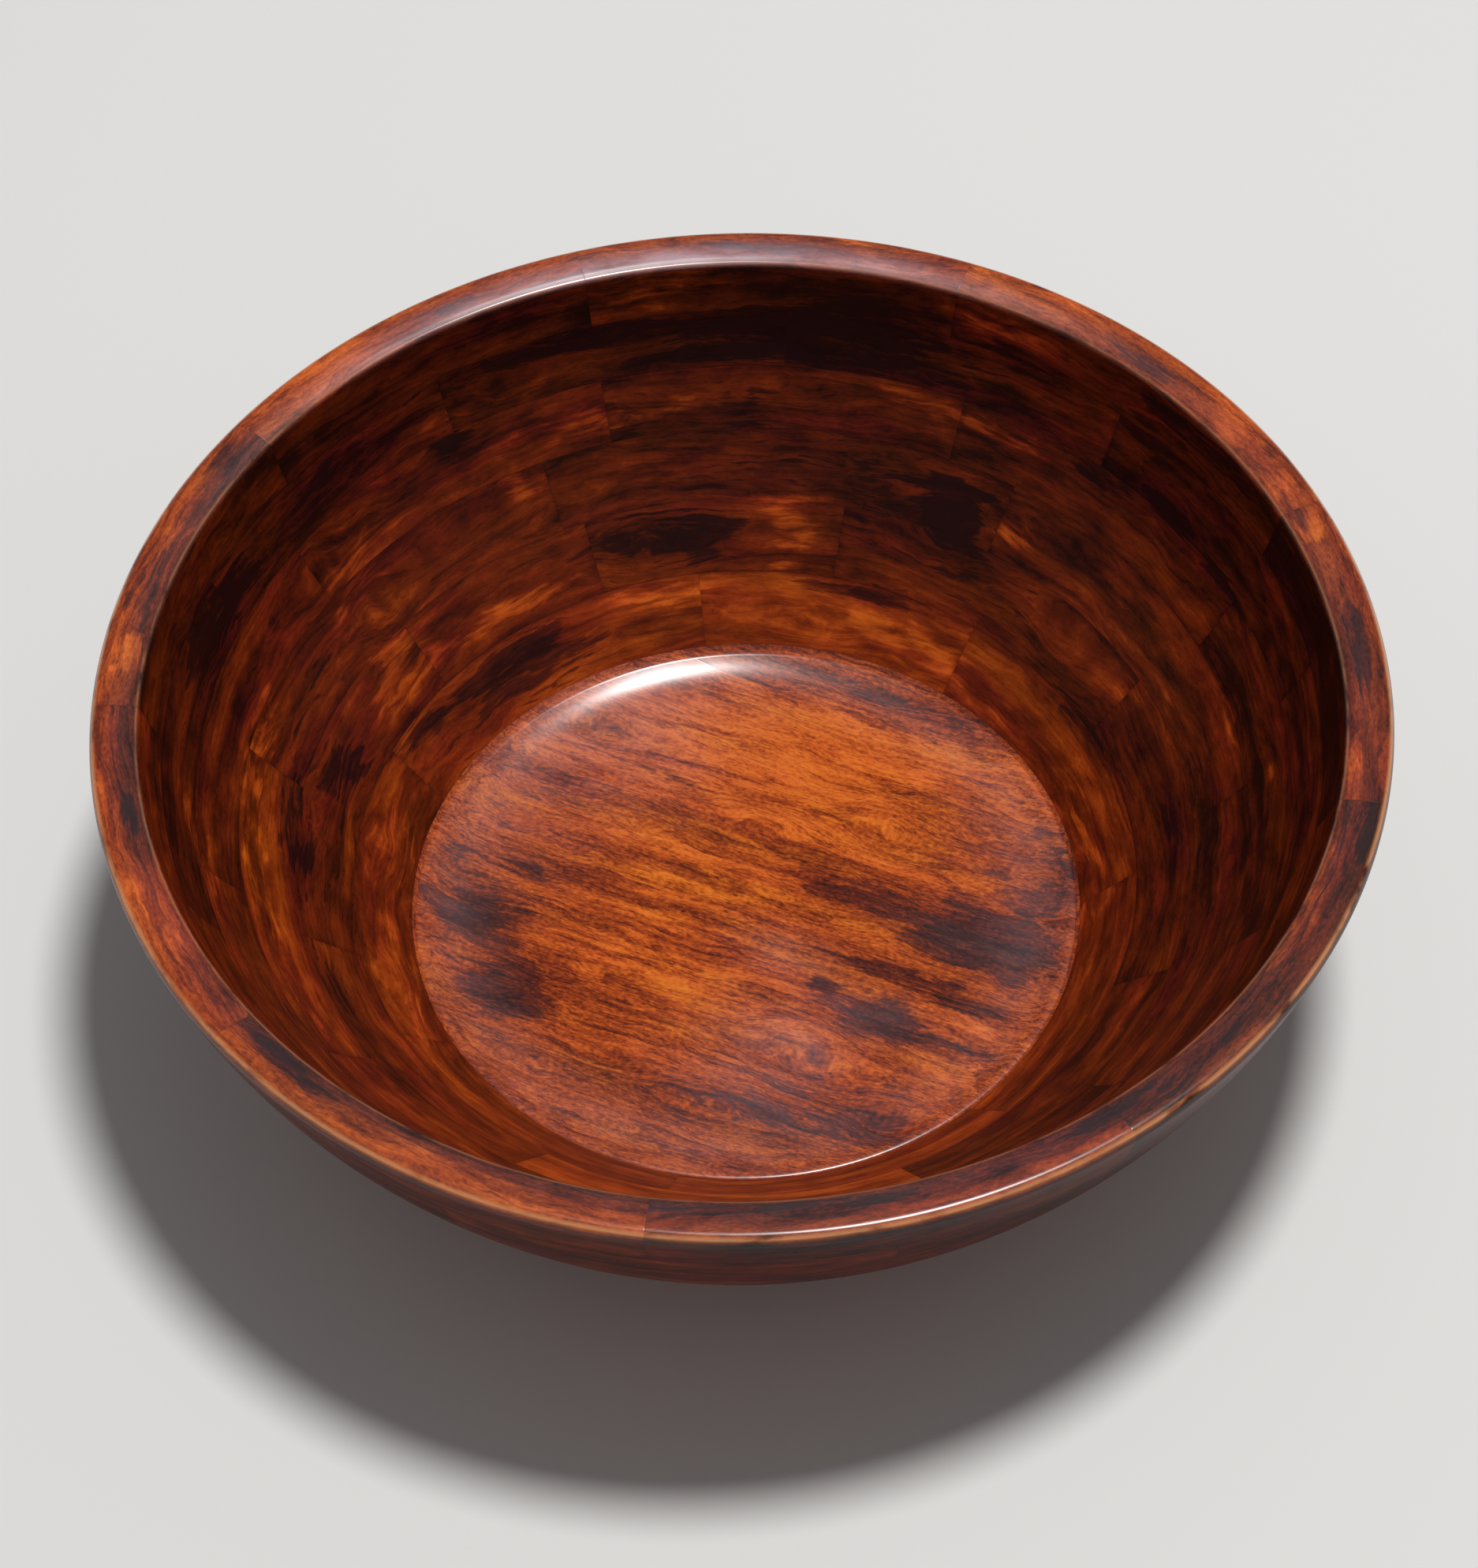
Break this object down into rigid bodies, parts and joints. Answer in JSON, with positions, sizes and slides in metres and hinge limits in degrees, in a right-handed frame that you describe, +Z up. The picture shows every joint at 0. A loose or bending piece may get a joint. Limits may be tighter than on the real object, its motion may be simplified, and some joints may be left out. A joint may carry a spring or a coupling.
{
  "type": "serving bowl",
  "caption": "Large round serving bowl of stained and lacquered wood, glued up from planks and rings of curved blocks and turned, with a flat rim and a ring foot.",
  "frame": {"origin": "middle of the foot, on the surface that the bowl stands on", "axes": "+Z up along the lathe axis, out of the bowl's mouth; +X along the grain of the base planks; +Y across them"},
  "size_m": [0.4442, 0.4442, 0.14],
  "materials": {
    "stained_wood": "gloss lacquer over reddish-brown stain"
  },
  "bodies": {
    "root": {"base_plank_1": "stained_wood", "base_plank_2": "stained_wood", "base_plank_3": "stained_wood", "base_plank_4": "stained_wood", "base_plank_5": "stained_wood", "base_plank_6": "stained_wood", "wall_1_block_1": "stained_wood", "wall_1_block_2": "stained_wood", "wall_1_block_3": "stained_wood", "wall_1_block_4": "stained_wood", "wall_1_block_5": "stained_wood", "wall_1_block_6": "stained_wood", "wall_1_block_7": "stained_wood", "wall_2_block_1": "stained_wood", "wall_2_block_2": "stained_wood", "wall_2_block_3": "stained_wood", "wall_2_block_4": "stained_wood", "wall_2_block_5": "stained_wood", "wall_2_block_6": "stained_wood", "wall_2_block_7": "stained_wood", "wall_2_block_8": "stained_wood", "wall_3_block_1": "stained_wood", "wall_3_block_2": "stained_wood", "wall_3_block_3": "stained_wood", "wall_3_block_4": "stained_wood", "wall_3_block_5": "stained_wood", "wall_3_block_6": "stained_wood", "wall_3_block_7": "stained_wood", "wall_4_block_1": "stained_wood", "wall_4_block_2": "stained_wood", "wall_4_block_3": "stained_wood", "wall_4_block_4": "stained_wood", "wall_4_block_5": "stained_wood", "wall_4_block_6": "stained_wood", "wall_4_block_7": "stained_wood", "wall_4_block_8": "stained_wood", "wall_5_block_1": "stained_wood", "wall_5_block_2": "stained_wood", "wall_5_block_3": "stained_wood", "wall_5_block_4": "stained_wood", "wall_5_block_5": "stained_wood", "wall_5_block_6": "stained_wood", "wall_5_block_7": "stained_wood", "wall_5_block_8": "stained_wood", "wall_5_block_9": "stained_wood", "rim_block_1": "stained_wood", "rim_block_2": "stained_wood", "rim_block_3": "stained_wood", "rim_block_4": "stained_wood", "rim_block_5": "stained_wood", "rim_block_6": "stained_wood", "rim_block_7": "stained_wood", "rim_block_8": "stained_wood", "rim_block_9": "stained_wood"}
  },
  "joints": []
}
